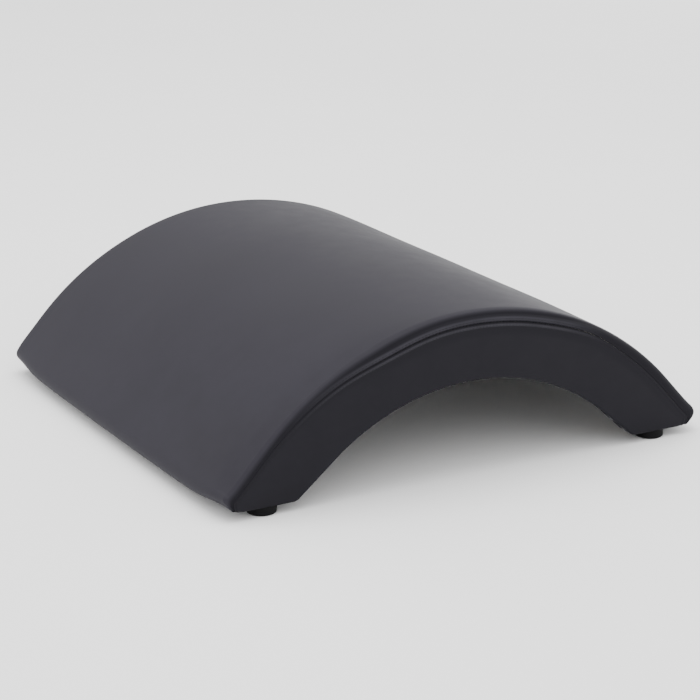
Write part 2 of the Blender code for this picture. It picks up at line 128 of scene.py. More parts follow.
def bump(value, middle, width):
    """1 at the middle, and dying away to nothing within a few widths."""
    return exp(-((value - middle) / width) ** 2)


def seam_depth(angle, side):
    """How far the seam runs below the crown: sewn by hand, it wanders a few millimetres."""
    dip = SEAM_DIP * bump(angle, side * SEAM_DIP_LEAN, SEAM_DIP_REACH)
    lift = SEAM_LIFT * bump(angle, side * SEAM_LIFT_LEAN, SEAM_LIFT_REACH)
    return SEAM_DROP + dip - lift


def crown_stations():
    """From the crown to the sole's outer end: place, way out, lean, turn done and swell."""
    found = []
    for step in range(ARC_STEPS + 1):
        lean = crown_lean * step / ARC_STEPS
        found.append((on_arc(CROWN_RADIUS, crown_centre, lean), way(lean), lean, 0.0, CROWN_SWELL))
    knee, out = found[-1][:2]
    for step in range(1, LEG_STEPS):
        place = knee + (end_centre + out * END_RADIUS - knee) * step / LEG_STEPS
        found.append((place, out, crown_lean, 0.0, CROWN_SWELL))
    for step in range(CORNER_STEPS + 1):
        turned = step / CORNER_STEPS
        out = way(crown_lean + (pi - crown_lean) * turned)
        swell = CROWN_SWELL + (END_SWELL - CROWN_SWELL) * sin(turned * pi / 2)
        swell *= 1 - turned ** SWELL_FADE_POWER
        place = end_centre + out * (END_RADIUS + END_FULL * sin(turned * pi) ** 2)
        found.append((place, out, crown_lean, turned, swell))
    return found


def seam_point(station, end, side, below=0.0):
    """The seam beside a station, on one end and one side, or a point so far below the seam."""
    place, out, lean, turned, _ = station
    depth = seam_depth(end * lean, side) + below
    if turned == 0.0:
        return place - out * depth
    knee = end_centre + way(crown_lean) * (END_RADIUS - depth)
    bend = knee + np.array([cos(crown_lean), -sin(crown_lean)]) * END_RADIUS * SEAM_BEND_SHARE
    foot = np.array([end_centre[0] - below, SOLE + EDGE_DEPTH])
    return knee * (1 - turned) ** 2 + bend * 2 * turned * (1 - turned) + foot * turned ** 2


CORNER_PULLS = {(-1, -1): (0.0030, 0.0068), (-1, 1): (0.0062, 0.0034),
                (1, -1): (0.0, 0.0034), (1, 1): (0.0020, 0.0030)}
CORNER_REACH = np.array([0.012, 0.050, 0.022])
CORNER_TIGHT = 0.0010


def drawn_in(points):
    """Pulls each lower corner in and up, where the vinyl is strained round it."""
    moved = points.copy()
    for (end, side), (shorten, lift) in CORNER_PULLS.items():
        corner = np.array([end * SPAN / 2, side * HALF, SOLE])
        far = np.linalg.norm((points - corner) / CORNER_REACH, axis=-1)
        moved += np.exp(-far ** 2)[..., None] * np.array([-end * shorten, -side * CORNER_TIGHT, lift])
    return moved


def reached(line):
    """How far along a line each of its points is."""
    return np.concatenate([[0.0], np.cumsum(np.linalg.norm(np.diff(line, axis=0), axis=1))])


def half_section(station, end, side, inset=0.0):
    """From the seam over one shoulder to the middle: points, ways out and runs from the seam.

    A shoulder is an elliptical roll, so high and so many times as far across. Each slope has its
    own, and on the slopes the edge can droop below the crown's swell.
    """
    place, out, lean, turned, swell = station
    seam = seam_point(station, end, side)
    level = bump(lean, 0.0, TOP_REACH)
    slope = np.array(SLOPE_SHOULDERS[end, side])
    roll, spread = slope + (np.array(TOP_SHOULDER) - slope) * level
    droop = SLOPE_DROOPS[end, side] * (1 - level) * (1 - turned)
    roll = max(roll + (EDGE_ROLL - roll) * turned ** 2 - inset, GAP)
    reach = roll * spread * (1 - turned / 2)
    half = HALF - inset
    start = place - out * (roll + inset + droop)
    found = []
    for step in range(FLANK_STEPS):
        rise = step / FLANK_STEPS
        spot = seam + (start - seam) * rise
        found.append((spot[0], half, spot[1], 0.0, 1.0, 0.0))
    for step in range(ROLL_STEPS + 1):
        turn = pi / 2 * step / ROLL_STEPS
        spot = start + out * roll * sin(turn)
        tilt = atan2(reach * sin(turn), roll * cos(turn))
        found.append((spot[0], half - reach * (1 - cos(turn)), spot[1],
                      out[0] * sin(tilt), cos(tilt), out[1] * sin(tilt)))
    flat = half - reach
    for y in reversed(CROWN_YS):
        share = y / flat
        spot = place + out * (swell * (1 - share ** 2) - inset - droop * share ** DROOP_POWER)
        found.append((spot[0], y, spot[1], out[0], 0.0, out[1]))
    found = np.array(found)
    facing = np.array([end, side, 1.0])
    points = found[:, :3] * facing
    return points, found[:, 3:] * facing, reached(points)


def section(station, end, inset=0.0):
    """A whole section across the crown, from the front seam to the back one."""
    front = half_section(station, end, -1, inset)
    back = half_section(station, end, 1, inset)
    return [np.concatenate([near, far[-2::-1]]) for near, far in zip(front, back)]


def both_halves(right):
    """The left half's rows, mirrored, before the right half's, which start on the middle."""
    return np.concatenate([right[:0:-1] * np.array([-1.0, 1.0, 1.0]), right])


def standing(name, mesh, smooth_angle):
    """Makes an edited mesh a smooth-shaded object, and the only one selected."""
    data = bpy.data.meshes.new(name)
    mesh.to_mesh(data)
    mesh.free()
    made = bpy.data.objects.new(name, data)
    bpy.context.collection.objects.link(made)
    bpy.ops.object.select_all(action="DESELECT")
    bpy.context.view_layer.objects.active = made
    made.select_set(True)
    bpy.ops.object.shade_smooth_by_angle(angle=smooth_angle)
    return made


def lofted(name, rings):
    """A closed solid through rings of points."""
    mesh = bmesh.new()
    loops = [[mesh.verts.new(point) for point in ring] for ring in rings]
    for near, far in zip(loops, loops[1:]):
        for number in range(len(near)):
            mesh.faces.new((near[number - 1], near[number], far[number], far[number - 1]))
    mesh.faces.new(loops[0])
    mesh.faces.new(loops[-1])
    bmesh.ops.recalc_face_normals(mesh, faces=mesh.faces)
    return standing(name, mesh, PAD_CREASE)


def crown_pad_rings():
    """Rings round the pad's section, from one lower end over the crown to the other."""
    stations = crown_stations()
    last = len(stations) - 1 - PAD_STOPS_SHORT
    under_radius = CROWN_RADIUS - PAD_INSET - PAD_THICKNESS
    knee = on_arc(under_radius, crown_centre, crown_lean)
    foot = leg_foot(under_radius, SOLE + EDGE_ROLL + PAD_INSET)
    edge = HALF - PAD_INSET
    rings = []
    for number in sorted(set(range(0, last, PAD_STRIDE)) | {ARC_STEPS, last}):
        base = on_arc(under_radius, crown_centre, crown_lean * min(number, ARC_STEPS) / ARC_STEPS)
        if number > ARC_STEPS:
            base = knee + (foot - knee) * (number - ARC_STEPS) / (last - ARC_STEPS)
        row = section(stations[number], -1, PAD_INSET)[0][FLANK_STEPS:-FLANK_STEPS]
        rings.append(np.concatenate([row, [(-base[0], edge, base[1]), (-base[0], -edge, base[1])]]))
    return drawn_in(both_halves(np.array(rings)))


class Socket:
    """One socket of a finish's nodes; sums on it add the Math nodes that they need."""

    def __init__(self, finish, socket):
        self.finish = finish
        self.socket = socket

    def math(self, operation, *values):
        return self.finish.node("ShaderNodeMath", {"operation": operation}, dict(enumerate(values)))

    def __add__(self, other):
        return self.math("ADD", self, other)

    def __mul__(self, other):
        return self.math("MULTIPLY", self, other)

    def __sub__(self, other):
        return self.math("SUBTRACT", self, other)

    def __rsub__(self, other):
        return self.math("SUBTRACT", other, self)

    __radd__ = __add__
    __rmul__ = __mul__


class Finish:
    """A node material with one Principled shader and a single way to add any other node."""

    def __init__(self, name, **constants):
        self.data = bpy.data.materials.new(name)
        self.data.use_nodes = True
        self.tree = self.data.node_tree
        self.shader = self.tree.nodes["Principled BSDF"]
        for socket, value in constants.items():
            self.shader.inputs[socket.replace("_", " ")].default_value = value

    def node(self, kind, settings=None, values=None, out=0):
        made = self.tree.nodes.new(kind)
        for key, value in (settings or {}).items():
            setattr(made, key, value)
        for key, value in (values or {}).items():
            if isinstance(value, Socket):
                self.tree.links.new(value.socket, made.inputs[key])
            elif made.inputs[key].type == "RGBA":
                made.inputs[key].default_value = (*value, 1.0)
            else:
                made.inputs[key].default_value = value
        return Socket(self, made.outputs[out])

    def place(self):
        return self.node("ShaderNodeTexCoord", out="Object")

    def noise(self, scale, detail=2.0, roughness=0.5):
        return self.node("ShaderNodeTexNoise", {}, {
            "Vector": self.place(), "Scale": scale, "Detail": detail, "Roughness": roughness})

    def cells(self, scale):
        return self.node("ShaderNodeTexVoronoi", {}, {"Vector": self.place(), "Scale": scale})

    def spread(self, value, low, high, new_low=0.0, new_high=1.0):
        """Stretches what lies between two values over two others, and stops there."""
        return self.node("ShaderNodeMapRange", {}, {
            "Value": value, "From Min": low, "From Max": high,
            "To Min": new_low, "To Max": new_high})

    def mix(self, share, first, second):
        """One colour where the share is 0, the other where it is 1."""
        return self.node("ShaderNodeMix", {"data_type": "RGBA"},
                         {0: share, 6: first, 7: second}, out=2)

    def feed(self, **sockets):
        for name, value in sockets.items():
            self.tree.links.new(value.socket, self.shader.inputs[name.replace("_", " ")])

    def relief(self, height):
        """Bump from a height in metres."""
        self.feed(Normal=self.node("ShaderNodeBump", {}, {"Height": height, "Distance": 1.0}))

    def dress(self, *pieces):
        for piece in pieces:
            piece.data.materials.clear()
            piece.data.materials.append(self.data)


FOAM_SHADED_PORES = (0.60, 0.57, 0.48)
FOAM_CREAM = (0.74, 0.71, 0.62)
PORE_DEPTH = 0.0006

crown_pad = lofted("crown_pad", crown_pad_rings())
foam = Finish("foam")
pores = foam.cells(scale=520.0)
# The pores are coloured darker as painted shade in their dents.
foam.feed(Base_Color=foam.mix(foam.spread(pores, 0.0, 0.8), FOAM_SHADED_PORES, FOAM_CREAM),
          Roughness=foam.spread(pores, 0.0, 1.0, 0.85, 0.97))
foam.relief(pores * PORE_DEPTH)
foam.dress(crown_pad)
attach(crown_pad, "root")
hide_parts("top_foam")


# Crown cover: one sheet of charcoal vinyl stretched over the pad, rolled over both shoulders
# down to the seams, drawn round the two lower ends and tucked up under the end rails. It is
# sewn to the side panels, so a puffed lip stands on each side of the seam.

SKIN = 0.0012
TUCK_RADIUS = 0.0030
TAIL = 0.0120
UNDER_INSET = 0.0539
ALLOWANCE = 0.0014
STRETCH = 1.02
LIP_RISE = 0.0012
UPPER_LIP = (0.0037, 0.0026)
LOWER_LIP = (0.0030, 0.0016)
STITCH_AT = 0.0034
NECK_DEPTH = 0.0015
NECK_AT = 0.0092
NECK_WIDTH = 0.0028
GROOVE_DEPTH = 0.0004
GROOVE_WIDTH = 0.0004
SHOWN_FROM = (-0.23, -0.10)
SHOWN_TO = (0.10, 0.17)
FAINT = 0.15
PUCKER = 0.0005
PUCKER_PITCH = 0.0046
PUCKER_PHASE = 0.8
PUCKER_REACH = 0.0110
GATHER_SHARE = 0.55
UNEVEN = 0.00022
UNEVEN_WAVES = ((23, 11, 0, 0.7), (-17, 29, 9, 2.1), (31, -13, 19, 4.0))
UNEVEN_LEVEL = 1.2
CALM_BY_SEAM = 0.020
CALM_BY_SOLE = 0.05
TUCK_STEPS = 6
WELD = GAP / 100
SKIN_CREASE = radians(50)
FAR_FROM_SEAM = 0.1


def shown(x):
    """How strongly the seam is drawn in: fully over the top of the arc, faintly down its slopes."""
    rise = np.clip((x - SHOWN_FROM[0]) / (SHOWN_FROM[1] - SHOWN_FROM[0]), 0.0, 1.0)
    fall = np.clip((SHOWN_TO[1] - x) / (SHOWN_TO[1] - SHOWN_TO[0]), 0.0, 1.0)
    return FAINT + (1 - FAINT) * rise * fall


def lip(run, turned, x):
    """How far the vinyl stands out beside the seam. A run is above the seam, or negative below it.

    Round a lower corner the vinyl gathers in small folds.
    """
    gathered = bump(1.0 - turned, 0.0, GATHER_SHARE) if turned else 0.0
    rise = LIP_RISE * bump(abs(run), *(UPPER_LIP if run > 0.0 else LOWER_LIP))
    rise -= GROOVE_DEPTH * bump(run, 0.0, GROOVE_WIDTH)
    if run > 0.0:
        rise -= NECK_DEPTH * bump(run, NECK_AT, NECK_WIDTH)
    fold = PUCKER * gathered * cos(2 * pi * run / PUCKER_PITCH + PUCKER_PHASE)
    return rise * shown(x) + fold * bump(run, 0.0, PUCKER_REACH)


def uneven(points, runs):
    """A faint unevenness of the foam under the vinyl, away from the seams and the soles."""
    x, y, z = points[..., 0], points[..., 1], points[..., 2]
    waves = sum(np.sin(a * x + b * y + c * z + phase) for a, b, c, phase in UNEVEN_WAVES)
    off_seam = 1 - np.exp(-(runs / CALM_BY_SEAM) ** 2)
    off_sole = np.clip((z - SOLE) / CALM_BY_SOLE, 0.0, 1.0)
    return UNEVEN * (waves - UNEVEN_LEVEL) * off_seam * off_sole


def crown_rows_and_runs():
    """The crown cover's rows of points from one lower end to the other, and their runs."""
    rows, runs = [], []
    stations = crown_stations()
    for end, half in ((-1, stations[:0:-1]), (1, stations)):
        for station in half:
            points, outs, away = section(station, end)
            stands = np.array([lip(run, station[3], end * station[0][0]) for run in away])
            rows.append(points + outs * stands[:, None])
            runs.append(away)
    rows, runs = drawn_in(np.array(rows)), np.array(runs)
    rows[..., 2] += uneven(rows, runs)
    return rows, runs


def tuck_rows():
    """On under one end rail and up its inner face, between the side panels' hems."""
    radius = CROWN_RADIUS - UNDER_INSET + TUCK_RADIUS - SKIN - GAP
    centre = leg_foot(radius, SOLE + TUCK_RADIUS)
    line = [np.array([end_centre[0], SOLE]), np.array([(end_centre[0] + centre[0]) / 2, SOLE])]
    for step in range(TUCK_STEPS + 1):
        line.append(centre + way(pi + crown_lean * step / TUCK_STEPS) * TUCK_RADIUS)
    line.append(line[-1] + np.array([-cos(crown_lean), sin(crown_lean)]) * TAIL)
    ys = [-y for y in reversed(CROWN_YS)] + CROWN_YS[1:]
    return np.array([[(spot[0], y, spot[1]) for y in ys] for spot in line])


def skinned(name, patches, thickness=SKIN):
    """A closed sheet through patches of rows, welded, with its thickness inwards; and its area."""
    mesh = bmesh.new()
    seam_map = mesh.loops.layers.uv.new("seam")
    for rows, runs in patches:
        along = reached(rows[:, 0])
        knots = [[mesh.verts.new(point) for point in row] for row in rows]
        for i in range(len(rows) - 1):
            for j in range(rows.shape[1] - 1):
                around = ((i, j), (i, j + 1), (i + 1, j + 1), (i + 1, j))
                face = mesh.faces.new([knots[a][b] for a, b in around])
                for loop, (a, b) in zip(face.loops, around):
                    loop[seam_map].uv = (along[a], runs[a][b])
    bmesh.ops.remove_doubles(mesh, verts=mesh.verts, dist=WELD)
    bmesh.ops.recalc_face_normals(mesh, faces=mesh.faces)
    middle = Vector((0.0, 0.0, SOLE))
    facing = sum(face.normal.dot(face.calc_center_median() - middle) * face.calc_area()
                 for face in mesh.faces)
    if facing < 0:
        bmesh.ops.reverse_faces(mesh, faces=mesh.faces)
    area = sum(face.calc_area() for face in mesh.faces)
    made = standing(name, mesh, SKIN_CREASE)
    shell = made.modifiers.new("skin", "SOLIDIFY")
    shell.thickness = thickness
    shell.offset = -1.0
    shell.use_even_offset = True
    bpy.ops.object.modifier_apply(modifier="skin")
    return made, area


def turned_in(rows, runs, inwards):
    """Adds the seam allowance before the first column, turned in behind the face."""
    return (np.concatenate([rows[:, :1] + np.array([0.0, inwards * ALLOWANCE, 0.0]), rows], axis=1),
            np.concatenate([runs[:, :1], runs], axis=1))


def plain(rows):
    """A patch far from any seam."""
    return rows, np.full(rows.shape[:2], FAR_FROM_SEAM)


crown_rows, crown_runs = crown_rows_and_runs()
front_in = turned_in(crown_rows, crown_runs, 1.0)
both_in = [part[:, ::-1] for part in turned_in(front_in[0][:, ::-1], front_in[1][:, ::-1], -1.0)]
tuck = tuck_rows()
crown_cover, crown_area = skinned("crown_cover", [
    both_in, plain(drawn_in(tuck)), plain(drawn_in(tuck * np.array([-1.0, 1.0, 1.0])))])

STITCH_PITCH = 0.0042
# Near-black painted shade along the seams, over the shoulder's roll where it turns from the light.
PAINTED_SHADE_BLACK = (0.0112, 0.0106, 0.0134)
# Paler painted highlight for the lips beside the seam, where they catch the light.
LIP_HIGHLIGHT = (0.034, 0.0327, 0.0395)
CROWN_DARK = (0.0236, 0.0222, 0.0277)
CROWN_PALE = (0.0272, 0.0257, 0.0320)
CROWN_GLOSS = 0.029
SHADE_BAND_AT = (-0.25, -0.10)
SHADE_BAND_WIDTHS = (0.0030, 0.0110)
SHADE_BAND_EDGE = 0.0050
GATHER_WIDTH = 0.007
GRAIN_HEIGHT = 0.000016
GATHER_HEIGHT = 0.00012


def vinyl_finish(name, dark, light, gloss, lip_at, lip_width):
    """Satin upholstery vinyl: fine grain, faint blotches, and along the seam a near-black band of
    painted shade over the shoulder's roll, a painted highlight on the lips, and puckers."""
    made = Finish(name, Specular_IOR_Level=gloss)
    seam = made.node("ShaderNodeUVMap", {"uv_map": "seam"})
    along = made.node("ShaderNodeSeparateXYZ", {}, {"Vector": seam}, out="X")
    away = made.node("ShaderNodeSeparateXYZ", {}, {"Vector": seam}, out="Y")
    blotch = made.noise(scale=7.0, detail=3.0)
    scuff = made.noise(scale=45.0, detail=4.0, roughness=0.6)
    share = made.spread(blotch * 0.6 + scuff * 0.4, 0.35, 0.65)
    across = made.node("ShaderNodeSeparateXYZ", {}, {"Vector": made.place()}, out="X")
    over_top = made.spread(across, *SHOWN_FROM) * made.spread(across, *SHOWN_TO, 1.0, 0.0)
    # Painted shade: a band along the seam, narrow on the left slope and wider over the top, is
    # coloured near-black.
    shade_band = made.spread(across, *SHADE_BAND_AT, *SHADE_BAND_WIDTHS)
    out_of_shade_band = made.spread(away - shade_band, 0.0, SHADE_BAND_EDGE)
    from_lip = made.node("ShaderNodeMath", {"operation": "ABSOLUTE"}, {0: away - lip_at})
    # Painted highlight: over the top of the arc the lips are coloured paler where they catch the
    # light from above, broken up by the scuff noise.
    lip_highlight = made.spread(from_lip, lip_width * 0.5, lip_width * 1.2, 1.0, 0.0) * over_top
    face = made.mix(out_of_shade_band, PAINTED_SHADE_BLACK, made.mix(share, dark, light))
    made.feed(Base_Color=made.mix(lip_highlight * (scuff * 0.7 + 0.4), face, LIP_HIGHLIGHT),
              Roughness=made.spread(blotch * 0.5 + scuff * 0.5, 0.35, 0.65, 0.42, 0.48))
    near = made.spread(away, 0.0, GATHER_WIDTH, 1.0, 0.0)
    drawn = made.node("ShaderNodeMath", {"operation": "SINE"}, {0: along * (2 * pi / STITCH_PITCH)})
    grain = made.cells(scale=1500.0) * 0.7 + made.noise(scale=700.0, detail=3.0) * 0.6
    made.relief(grain * GRAIN_HEIGHT + drawn * near * near * over_top * GATHER_HEIGHT)
    return made


crown_vinyl = vinyl_finish("crown_vinyl", CROWN_DARK, CROWN_PALE, CROWN_GLOSS, *UPPER_LIP)
crown_vinyl.dress(crown_cover)
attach(crown_cover, "root")
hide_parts("cover_top_panel")
crown_area / STRETCH


# Side pads: thin closed-cell foam glued on each face of the frame, between the deep side rib
# and the side cover. They keep the rib's hard edges off the vinyl, and nothing of them shows.

SIDE_FOAM = 0.0031
ARCH_LEG = 0.0545
CROWN_DEPTH = 0.0780
HEEL_RADIUS = 0.0110
SOLE_WIDTH = 0.0700
HEEL_STEPS = 12
ARCH_LEG_STEPS = LEG_STEPS + CORNER_STEPS - HEEL_STEPS - 1

heel_centre = np.array([end_centre[0] - SOLE_WIDTH, SOLE + HEEL_RADIUS])
ARCH_RADIUS, arch_centre, arch_lean = face_through(
    HEIGHT - CROWN_DEPTH, heel_centre, -HEEL_RADIUS, ARCH_LEG)
arch_leans = np.array([arch_lean * step / ARC_STEPS for step in range(ARC_STEPS + 1)]
                      + [arch_lean] * ARCH_LEG_STEPS
                      + [arch_lean * (1 - step / HEEL_STEPS) for step in range(HEEL_STEPS + 1)])


def arch_edge(inset, rise=0.0):
    """The side face's lower edge: the arch, the leg and the heel. A rise dies away down the leg."""
    arc = [on_arc(ARCH_RADIUS + inset, arch_centre, lean) for lean in arch_leans[:ARC_STEPS + 1]]
    heel = [heel_centre - way(lean) * (HEEL_RADIUS - inset) for lean in arch_leans[-HEEL_STEPS - 1:]]
    leg = [arc[-1] + (heel[0] - arc[-1]) * step / (ARCH_LEG_STEPS + 1)
           for step in range(1, ARCH_LEG_STEPS + 1)]
    fade = ARCH_LEG_STEPS + HEEL_STEPS
    last = len(arch_leans) - 1
    return [spot + way(lean) * rise * min(1.0, (last - number) / fade)
            for number, (spot, lean) in enumerate(zip(arc + leg + heel, arch_leans))]


def side_pad_rings(outer, inner):
    """Rings round a side pad's section, between the crown pad and the arch's edge."""
    radius = CROWN_RADIUS - PAD_INSET - PAD_THICKNESS - GAP
    knee = on_arc(radius, crown_centre, crown_lean)
    foot = leg_foot(radius, SOLE + EDGE_ROLL + PAD_INSET)
    low = arch_edge(EDGE_ROLL + PAD_INSET)
    rest = len(low) - ARC_STEPS - 1
    top = [on_arc(radius, crown_centre, crown_lean * step / ARC_STEPS)
           for step in range(ARC_STEPS + 1)]
    top += [knee + (foot - knee) * step / rest for step in range(1, rest + 1)]
    return both_halves(np.array([
        [(t[0], outer, t[1]), (t[0], inner, t[1]), (b[0], inner, b[1]), (b[0], outer, b[1])]
        for t, b in zip(top[::PAD_STRIDE], low[::PAD_STRIDE])]))


for side, sign in (("front", -1), ("back", 1)):
    outer = sign * (HALF - PAD_INSET)
    pad = lofted(f"{side}_side_pad", side_pad_rings(outer, outer - sign * SIDE_FOAM))
    foam.dress(pad)
    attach(pad, "root")
    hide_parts(f"{side}_side_foam")


# Side covers: a flat panel of charcoal vinyl on each face, coloured darker than the crown as
# painted shade, sewn to the crown cover, turned under along the arch, the heels and the soles,
# and stapled as a hem to the deep side ribs.

SIDE_SWELL = 0.0008
HEM_RISE = 0.0038
HEM_HALF = TUCK_HALF + GAP
SOLE_PULL_POWER = 4
NEAR_SEAM = [0.0, 0.0004, 0.0008, 0.0013, 0.0019, 0.0025, 0.0031, 0.0037, 0.0043, 0.005, 0.0058,
             0.0068, 0.008, 0.010]
FACE_SHARES = [0.08, 0.18, 0.3, 0.43, 0.56, 0.69, 0.8, 0.89, 0.95, 1.0]
FOLD_STEPS = 8
HEM_STEPS = 4
# The side vinyl's colours are the crown vinyl's darkened to about half: painted shade for faces
# turned from the light overhead.
SIDE_SHADED_DARK = (0.0114, 0.0108, 0.0136)
SIDE_SHADED_PALE = (0.0134, 0.0127, 0.0158)
SIDE_GLOSS = 0.05


def side_half(end, side):
    """Rows down half a side face, from the seam to the fold, with distances from the seam."""
    rows, runs = [], []
    sole = np.array([end_centre[0] - 2 * GAP, SOLE + EDGE_ROLL])
    for station, arch in zip(crown_stations(), arch_edge(EDGE_ROLL)):
        turned = station[3]
        seam = seam_point(station, end, side, GAP)
        seam = seam + (sole - seam) * turned ** SOLE_PULL_POWER
        length = hypot(*(arch - seam))
        away = NEAR_SEAM + [NEAR_SEAM[-1] + (length - NEAR_SEAM[-1]) * part for part in FACE_SHARES]
        row = []
        for distance in away:
            part = distance / length
            spot = seam + (arch - seam) * part
            out = SIDE_SWELL * (1 - turned) * 4 * part * (1 - part)
            out += lip(-distance, turned, seam[0] * end)
            row.append((spot[0] * end, side * (HALF + out), spot[1]))
        rows.append(row)
        runs.append(away)
    return np.array(rows), np.array(runs)


def hem(side):
    """Round the fold and along the hem, from the left sole over the arch to the right one."""
    face = side_half(1, side)[0]
    edge = list(zip(face[:, -1], arch_leans, arch_edge(0.0, HEM_RISE)))
    edge += [(spot, 0.0, np.array([spot[0], SOLE])) for spot in face[-1][-2::-1]]
    rows = []
    for spot, lean, inner in edge:
        row = []
        for step in range(FOLD_STEPS + 1):
            turn = pi / 2 * step / FOLD_STEPS
            down = way(lean) * EDGE_ROLL * sin(turn)
            inwards = side * EDGE_ROLL * (1 - cos(turn))
            row.append((spot[0] - down[0], spot[1] - inwards, spot[2] - down[1]))
        start = np.array(row[FOLD_STEPS])
        stop = np.array([inner[0], side * HEM_HALF, inner[1]])
        for step in range(1, HEM_STEPS + 1):
            row.append(tuple(start + (stop - start) * (step / HEM_STEPS)))
        rows.append(row)
    return both_halves(np.array(rows))


shaded_side_vinyl = vinyl_finish("shaded_side_vinyl", SIDE_SHADED_DARK, SIDE_SHADED_PALE, SIDE_GLOSS, *LOWER_LIP)
side_faces, hems = {}, {}
for side, sign in (("front", -1), ("back", 1)):
    left, left_runs = side_half(-1, sign)
    right, right_runs = side_half(1, sign)
    rows = drawn_in(np.concatenate([left[:0:-1], right]))
    runs = np.concatenate([left_runs[:0:-1], right_runs])
    side_faces[side] = rows, runs
    hems[side] = drawn_in(hem(sign))
    cover, cover_area = skinned(f"{side}_side_cover", [
        turned_in(rows, runs, -float(sign)), plain(hems[side])])
    shaded_side_vinyl.dress(cover)
    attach(cover, "root")
    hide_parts(f"cover_{side}_panel")
    cover_area / STRETCH


# Topstitching: a row of charcoal thread on each side of both seams, sewn through the vinyl and
# its turned-in allowance, so that it holds the lips down. Each stitch dives in at its two ends.

STITCH_LENGTH = 0.0031
STITCH_RADIUS = 0.00024
STITCH_DIVE = 0.00045
DIVE_POWER = 4
BAR_SIDES = 6
BAR_CUTS = 3
BAR_CREASE = radians(60)
THREAD_DARK = (0.0085, 0.0081, 0.0102)
THREAD_PALE = (0.0165, 0.0160, 0.0195)
TWIST_HEIGHT = 0.0001


def pick(made, kind, test):
    """Selects the edges or faces that pass a test of their middle and their run or normal."""
    bpy.ops.mesh.select_all(action="DESELECT")
    bpy.ops.mesh.select_mode(type=kind)
    mesh = bmesh.from_edit_mesh(made.data)
    for edge in mesh.edges if kind == "EDGE" else []:
        start, stop = (vertex.co for vertex in edge.verts)
        edge.select_set(test((start + stop) / 2, start - stop))
    for face in mesh.faces if kind == "FACE" else []:
        face.select_set(test(face.calc_center_median(), face.normal))
    bmesh.update_edit_mesh(made.data)


def bent_bar(length, radius, dive):
    """A short round bar along X whose two ends dive: a stitch, or a staple's back."""
    bpy.ops.object.select_all(action="DESELECT")
    bpy.ops.mesh.primitive_cylinder_add(vertices=BAR_SIDES, radius=radius, depth=length,
                                        rotation=(0.0, pi / 2, 0.0))
    bar = bpy.context.object
    bpy.ops.object.transform_apply(location=False, rotation=True, scale=False)
    bpy.ops.object.mode_set(mode="EDIT")
    pick(bar, "EDGE", lambda middle, run: abs(run.x) > length / 2)
    bpy.ops.mesh.subdivide(number_cuts=BAR_CUTS)
    bpy.ops.object.mode_set(mode="OBJECT")
    for vertex in bar.data.vertices:
        vertex.co.z -= dive * (vertex.co.x / (length / 2)) ** DIVE_POWER
    return bar


def along_line(line, outs, pitch):
    """Places at an even pitch on a line: the point, the way along it and the way out."""
    steps = np.linalg.norm(np.diff(line, axis=0), axis=1)
    length = reached(line)
    found = []
    for reach in np.arange(pitch, length[-1] - pitch / 2, pitch):
        number = int(np.searchsorted(length, reach)) - 1
        ahead = line[number + 1] - line[number]
        share = (reach - length[number]) / steps[number]
        found.append((line[number] + ahead * share, ahead / steps[number], outs[number]))
    return found


def repeated(name, shape, places):
    """One mesh of copies of a small shape, each at a point, turned along its line and outwards."""
    corners = [np.array(vertex.co) for vertex in shape.data.vertices]
    faces = [tuple(face.vertices) for face in shape.data.polygons]
    points, sides = [], []
    for point, ahead, out in places:
        aside = np.cross(out, ahead)
        aside /= np.linalg.norm(aside)
        up = np.cross(ahead, aside)
        start = len(points)
        points += [point + ahead * p[0] + aside * p[1] + up * p[2] for p in corners]
        sides += [tuple(start + corner for corner in face) for face in faces]
    bpy.data.objects.remove(shape, do_unlink=True)
    mesh = bmesh.new()
    knots = [mesh.verts.new(point) for point in points]
    for face in sides:
        mesh.faces.new([knots[corner] for corner in face])
    bmesh.ops.recalc_face_normals(mesh, faces=mesh.faces)
    return standing(name, mesh, BAR_CREASE)


def beside_seam(rows, runs, distance):
    """The line on a cover at a distance from its seam."""
    line = []
    for row, run in zip(rows, runs):
        column = int(np.searchsorted(run, distance))
        share = (distance - run[column - 1]) / (run[column] - run[column - 1])
        line.append(row[column - 1] + (row[column] - row[column - 1]) * share)
    return np.array(line)


thread = Finish("thread", Roughness=0.62, Specular_IOR_Level=0.05)
twist = thread.node("ShaderNodeTexWave", {"bands_direction": "DIAGONAL"}, {
    "Vector": thread.place(), "Scale": 900.0, "Distortion": 0.4})
thread.feed(Base_Color=thread.mix(twist, THREAD_DARK, THREAD_PALE))
thread.relief(twist * TWIST_HEIGHT)

shoulder = FLANK_STEPS + ROLL_STEPS + 1
for side, sign in (("front", -1), ("back", 1)):
    order = slice(None, None, -sign)
    upper = beside_seam(crown_rows[:, order][:, :shoulder],
                        crown_runs[:, order][:, :shoulder], STITCH_AT)
    lower = beside_seam(*side_faces[side], STITCH_AT)
    outs = np.tile(np.array([0.0, float(sign), 0.0]), (len(upper), 1))
    stitches = repeated(f"{side}_topstitching", bent_bar(STITCH_LENGTH, STITCH_RADIUS, STITCH_DIVE),
                        along_line(upper, outs, STITCH_PITCH) + along_line(lower, outs, STITCH_PITCH))
    thread.dress(stitches)
    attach(stitches, "root")


# Feet: four moulded rubber feet with softened lower edges and a recess that takes the screw's
# head and washer. Each is drawn up against the sole by its screw.

